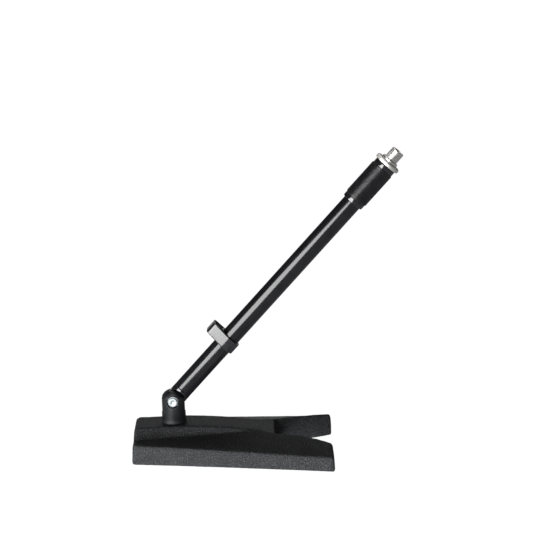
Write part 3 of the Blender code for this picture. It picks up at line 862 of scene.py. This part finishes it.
def make_clip():
    """Moulded cable clip: ring round the tube, tapered loop and its mouth between two lips."""
    low, high, bore, _ = span("cable_clip")
    start = low + CLIP_LEAN * CLIP_RING_RADIUS
    end = high - CLIP_LEAN * (CLIP_CORNER[0] + CLIP_CORNER_RADIUS)
    low, high = low - 2.0, high + 2.0
    lean = Matrix.Identity(4)
    lean[2][0] = -CLIP_LEAN
    hollow = prism(clip_outline(CLIP_RING_RADIUS - CLIP_WALL, CLIP_CORNER_RADIUS - CLIP_WALL), low, high)
    loop = carved(hollow, ("DIFFERENCE", rod(bore + 2.0, low - 1.0, high + 1.0, 160)))
    loop_builder = bmesh.new()
    loop_builder.from_mesh(loop.data)
    bpy.data.objects.remove(loop, do_unlink=True)
    clip = carved(
        moved(prism(clip_outline(CLIP_RING_RADIUS, CLIP_CORNER_RADIUS), start, end), lean),
        ("DIFFERENCE", rod(bore, low, high, 160)),
        ("DIFFERENCE", loop_builder),
        ("DIFFERENCE", block((-32.0, -1.0, low), (-23.5, 4.5, high))),
    )
    softened(clip, 0.26, 16)
    dress(clip, "moulded_clip", ARM, "clip", "black_nylon", "cable_clip", crease=None)


def make_clutch_rings():
    """Fixed ring below the grip and the cap above it, both with fine turned grooves."""
    start, end, bore, radius = span("clutch_body")
    grip_start = span("clutch_grip")[0]
    sleeve = radius - 1.0
    body = [(bore, start), (radius - 0.5, start), (radius, start + 0.5), (radius, grip_start - 1.0)]
    body += [(radius - 0.15, grip_start - 0.85), (radius, grip_start - 0.7), (radius, grip_start - 0.3)]
    body += [(sleeve, grip_start - 0.3), (sleeve, end), (bore, end)]
    ring = work_object(turned(rounded(body, 0.22, 3), 160))
    dress(ring, "clutch_ring", ARM, "arm", "satin_black_metal", "clutch_body",
          crease=30.0, finish="polished_black")

    start, end, bore, radius = span("clutch_cap")
    rim = span("clutch_grip")[1] + 0.3
    cap = [(bore, start), (12.3, start), (12.3, rim), (radius, rim), (radius, rim + 0.4)]
    cap += [(radius - 0.15, rim + 0.55), (radius, rim + 0.7), (radius, end - 0.6), (radius - 0.6, end)]
    cap += [(bore + 0.4, end), (bore, end - 0.4)]
    top = work_object(turned(rounded(cap, 0.2, 3), 160))
    dress(top, "clutch_top", ARM, "clutch", "satin_black_metal", "clutch_cap",
          crease=30.0, finish="polished_black")


KNURLS = 76
KNURL_DEPTH = 0.30
KNURL_CREST = 0.66  # share of a diamond's width that is left flat


def make_grip():
    """Barrel with a real diamond knurl: a lattice of V grooves that leaves a flat crest on every diamond."""
    start, end, bore, radius = span("clutch_grip")
    shoulder = 1.0
    pitch = 2.0 * math.pi * radius / KNURLS
    rows = 2 * round((end - start - 2.0 * shoulder) / pitch)
    step = (end - start - 2.0 * shoulder) / rows
    columns = 2 * KNURLS
    valley = radius - KNURL_DEPTH
    builder = bmesh.new()

    def point(column, row, here):
        angle = math.pi * column / KNURLS
        height = start + shoulder + row * step
        return builder.verts.new((here * math.cos(angle), here * math.sin(angle), height))

    def ring(height, here):
        row = (height - start - shoulder) / step
        return [point(column, row, here) for column in range(columns)]

    lattice = [ring(start + shoulder + row * step, valley) for row in range(rows + 1)]
    for row in range(rows + 1):
        for column in range(row % 2 + 1, columns + row % 2, 2):
            middle = lattice[row][column % columns]
            right = lattice[row][(column + 1) % columns]
            left = lattice[row][column - 1]
            if row == 0 or row == rows:
                beyond = lattice[1 if row == 0 else rows - 1][column % columns]
                builder.faces.new((middle, right, beyond))
                builder.faces.new((middle, beyond, left))
                continue
            corners = [right, lattice[row + 1][column % columns], left, lattice[row - 1][column % columns]]
            reach = [(KNURL_CREST, 0.0), (0.0, KNURL_CREST), (-KNURL_CREST, 0.0), (0.0, -KNURL_CREST)]
            crest = [point(column + across, row + along, radius) for across, along in reach]
            builder.faces.new(crest)
            for index in range(4):
                after = (index + 1) % 4
                builder.faces.new((corners[index], corners[after], crest[after], crest[index]))
            builder.verts.remove(middle)
    lathe = [(end - shoulder * 0.55, valley), (end, radius - 1.0), (end, bore)]
    lathe += [(start, bore), (start, radius - 1.0), (start + shoulder * 0.55, valley)]
    loops = [lattice[-1]] + [ring(height, here) for height, here in lathe] + [lattice[0]]
    for here, there in zip(loops, loops[1:]):
        for column in range(columns):
            after = (column + 1) % columns
            builder.faces.new((here[column], here[after], there[after], there[column]))
    grip = work_object(builder)
    dress(grip, "knurled_grip", ARM, "clutch", "knurled_black", "clutch_grip", crease=20.0)


# ---------------------------------------------------------------- tip
THREAD_PITCH = 25.4 / 27.0
THREAD_DEPTH = 0.22


def make_spigot():
    """Hollow spigot with a real helical thread, a plain root above the shank and a chamfered end."""
    start, end, core, radius = span("threaded_spigot")
    collar_end = span("thread_collar")[1]
    bore = span("inner_tube")[2]
    first, last = collar_end - 1.2, end - 0.9
    sides = 120
    builder = bmesh.new()

    def crest(angle, height):
        phase = (height / THREAD_PITCH - angle / (2.0 * math.pi)) % 1.0
        ridge = 1.0 - abs(2.0 * phase - 1.0)
        fade = min(1.0, (height - first) / THREAD_PITCH, (last - height) / THREAD_PITCH + 0.5)
        return radius - THREAD_DEPTH * min(1.0, 1.35 * (1.0 - ridge)) * max(0.0, fade)

    def ring(radius_of, height_of):
        made = []
        for side in range(sides):
            angle = 2.0 * math.pi * side / sides
            height = height_of(angle)
            here = radius_of(angle, height)
            made.append(builder.verts.new((here * math.cos(angle), here * math.sin(angle), height)))
        return made

    def plain(value, height):
        return ring(lambda _angle, _height: value, lambda _angle: height)

    loops = [plain(core, start), plain(bore - 0.3, start), plain(bore - 0.3, span("inner_tube")[1] + 0.3)]
    loops += [plain(radius, span("inner_tube")[1] + 0.3), plain(radius, first)]
    turns = int((last - first) / THREAD_PITCH)
    for step in range(turns * 6 + 1):
        height = first + (last - first) * step / (turns * 6)
        loops.append(ring(crest, lambda _angle: height))
    loops += [plain(radius - 0.75, end - 0.12), plain(radius - 0.95, end), plain(bore + 0.25, end)]
    loops += [plain(bore, end - 0.25), plain(bore, collar_end - 6.0), plain(core, collar_end - 6.0)]
    for here, there in zip(loops, loops[1:] + loops[:1]):
        for side in range(sides):
            after = (side + 1) % sides
            builder.faces.new((here[side], here[after], there[after], there[side]))
    spigot = work_object(builder)
    dress(spigot, "microphone_spigot", ARM, "inner", "nickel", "threaded_spigot", crease=50.0)


def make_tip_rings():
    start, end, bore, radius = span("locking_disc")
    disc = [(bore, start), (radius - 0.35, start), (radius, start + 0.35), (radius, end - 1.2)]
    disc += [(radius - 1.05, end), (bore + 0.5, end), (bore, end - 0.5)]
    made = work_object(turned(rounded(disc, 0.18, 3), 160))
    dress(made, "nickel_disc", ARM, "disc", "nickel", "locking_disc", crease=30.0, finish="blasted_nickel")

    start, end, bore, radius = span("thread_collar")
    collar = [(bore, start), (radius - 0.2, start), (radius, start + 0.2), (radius, end - 0.6)]
    collar += [(radius - 0.6, end), (bore + 0.3, end), (bore, end - 0.3)]
    made = work_object(turned(rounded(collar, 0.15, 3), 128))
    dress(made, "nickel_collar", ARM, "inner", "nickel", "thread_collar", crease=30.0)

    start, end, bore, radius = span("inner_tube")
    tube = rounded([(bore, start), (radius, start), (radius, end), (bore, end)], 0.4)
    made = work_object(turned(tube, 160))
    dress(made, "sliding_tube", ARM, "inner", "nickel", "inner_tube", crease=30.0)


# ---------------------------------------------------------------- build
make_studio()
make_casting()
make_feet()
make_post()
make_pivot_bolt()
keep_hardware()
make_knuckle()
make_tube()
make_clip()
make_clutch_rings()
make_grip()
make_spigot()
make_tip_rings()
